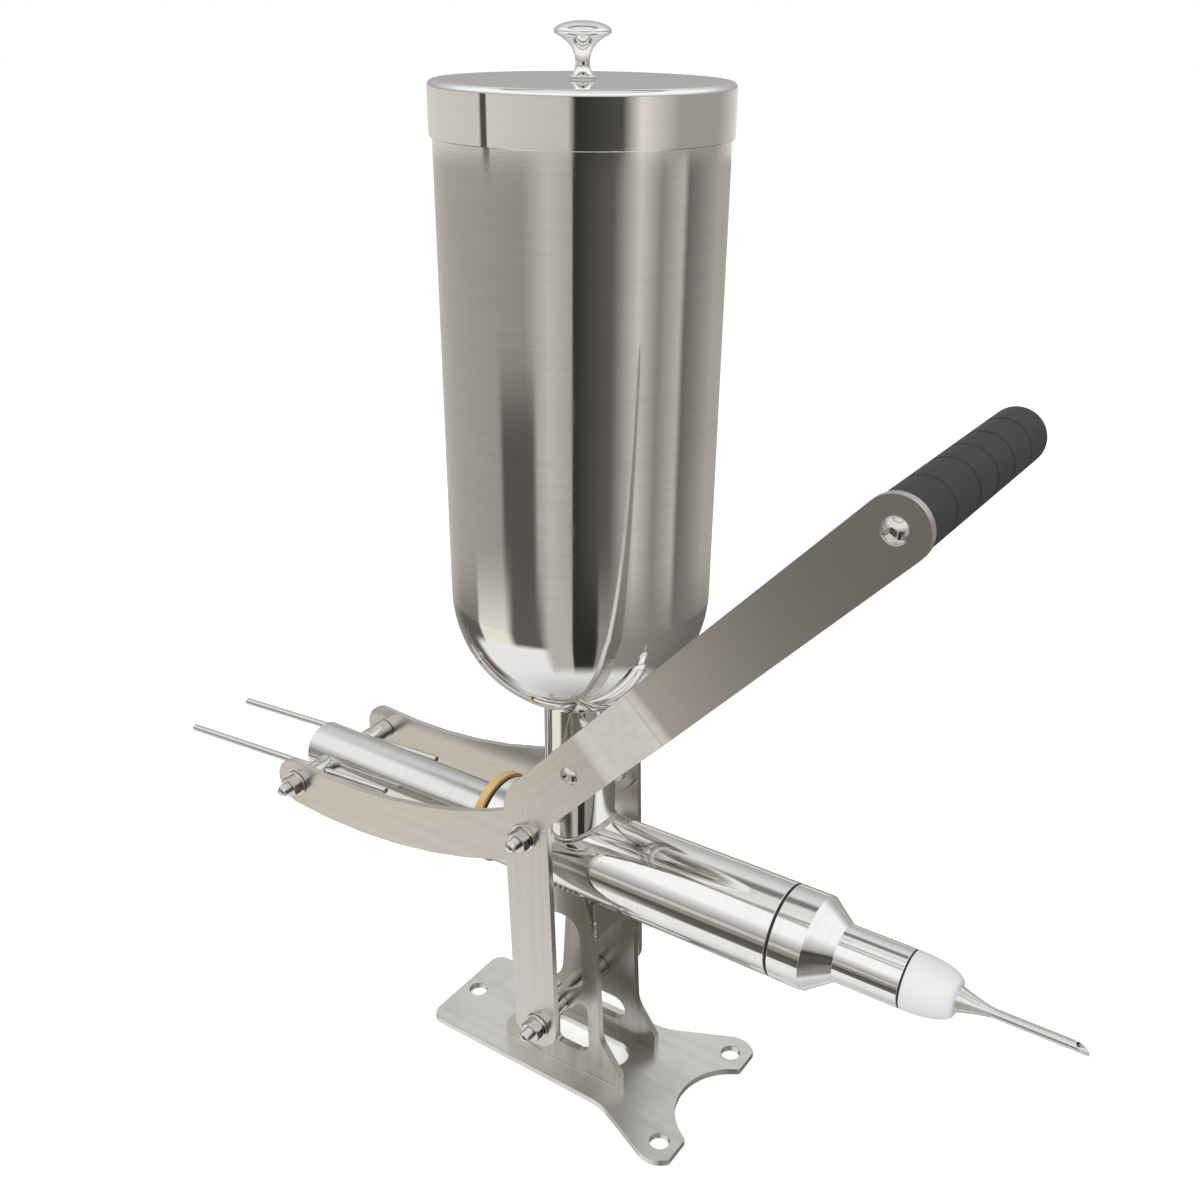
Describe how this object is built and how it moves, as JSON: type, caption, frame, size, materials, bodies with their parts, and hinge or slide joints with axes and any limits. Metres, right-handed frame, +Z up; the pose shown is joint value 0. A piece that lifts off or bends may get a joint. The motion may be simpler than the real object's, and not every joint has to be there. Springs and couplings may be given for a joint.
{
  "type": "donut filler machine",
  "caption": "Bolt-down hand lever filler with an open steel hopper and lid, a plunger barrel worked by curved links, stop rods and a slanted filling needle.",
  "frame": {"origin": "underside of the base plate, directly below the hopper's axis", "axes": "+X along the barrel towards the needle, +Z up along the hopper, -Y towards the side with the long lever arm"},
  "size_m": [0.6663, 0.1742, 0.6519],
  "materials": {
    "satin_steel": "satin brushed stainless plate",
    "polished_steel": "polished stainless steel",
    "fastener_steel": "bright plated",
    "bush_tan": "turned tan plastic",
    "seal_black": "black rubber",
    "white_plastic": "satin white food-grade plastic",
    "grip_black": "matt charcoal"
  },
  "bodies": {
    "frame": {"base_plate": "satin_steel", "upright_near": "satin_steel", "upright_far": "satin_steel", "front_web": "satin_steel", "axle_sleeve": "satin_steel", "axle_spacers": "polished_steel", "lever_axle": "fastener_steel", "axle_washers": "fastener_steel", "axle_nuts": "fastener_steel", "barrel_tube": "polished_steel", "hopper_neck": "polished_steel", "hopper_shell": "polished_steel", "guide_bush": "bush_tan", "bush_seal_ring": "seal_black", "dosing_liner": "white_plastic", "front_seal_ring": "seal_black", "nose_cone": "polished_steel", "holder_seal_ring": "seal_black", "needle_holder": "white_plastic", "filling_needle": "polished_steel"},
    "lid": {"lid_cap": "polished_steel", "lid_knob": "fastener_steel", "knob_screw": "fastener_steel"},
    "lever": {"lever_near": "satin_steel", "lever_far": "satin_steel", "lever_crossbar": "fastener_steel", "crossbar_screws": "fastener_steel", "link_bolts": "fastener_steel", "link_washers": "fastener_steel", "link_nuts": "fastener_steel", "grip_core": "fastener_steel", "grip_sleeve": "grip_black", "grip_screw": "fastener_steel"},
    "links": {"link_near": "satin_steel", "link_far": "satin_steel"},
    "plunger": {"plunger": "polished_steel", "plunger_seals": "seal_black", "cross_pin": "polished_steel", "pin_washers": "fastener_steel", "pin_nuts": "fastener_steel", "rod_set_screws": "fastener_steel"},
    "stop_rod_near": {"stop_rod_near": "polished_steel"},
    "stop_rod_far": {"stop_rod_far": "polished_steel"}
  },
  "joints": [
    {"name": "lever_swing", "type": "hinge", "parent": "frame", "child": "lever", "pos_m": [0.0026, 0, 0.058], "axis": [0, 1, 0], "range_deg": [0, 31]},
    {"name": "plunger_slide", "type": "slide", "parent": "frame", "child": "plunger", "axis": [1, 0, 0], "range_m": [0, 0.0745]},
    {"name": "link_swing", "type": "hinge", "parent": "plunger", "child": "links", "pos_m": [-0.20711, 0, 0.1678], "axis": [0, 1, 0], "range_deg": [0, 4]},
    {"name": "stop_rod_near_slide", "type": "slide", "parent": "plunger", "child": "stop_rod_near", "axis": [0.9976, 0, 0.0698], "range_m": [-0.05, 0]},
    {"name": "stop_rod_far_slide", "type": "slide", "parent": "plunger", "child": "stop_rod_far", "axis": [0.9976, 0, 0.0698], "range_m": [-0.05, 0]},
    {"name": "lid_lift", "type": "slide", "parent": "frame", "child": "lid", "axis": [0, 0, 1], "range_m": [0, 0.06]}
  ],
  "couplings": [
    {"joint": "plunger_slide", "follows": "lever_swing", "m_per_rad": 0.1367},
    {"joint": "link_swing", "follows": "lever_swing", "ratio": 0.117}
  ]
}
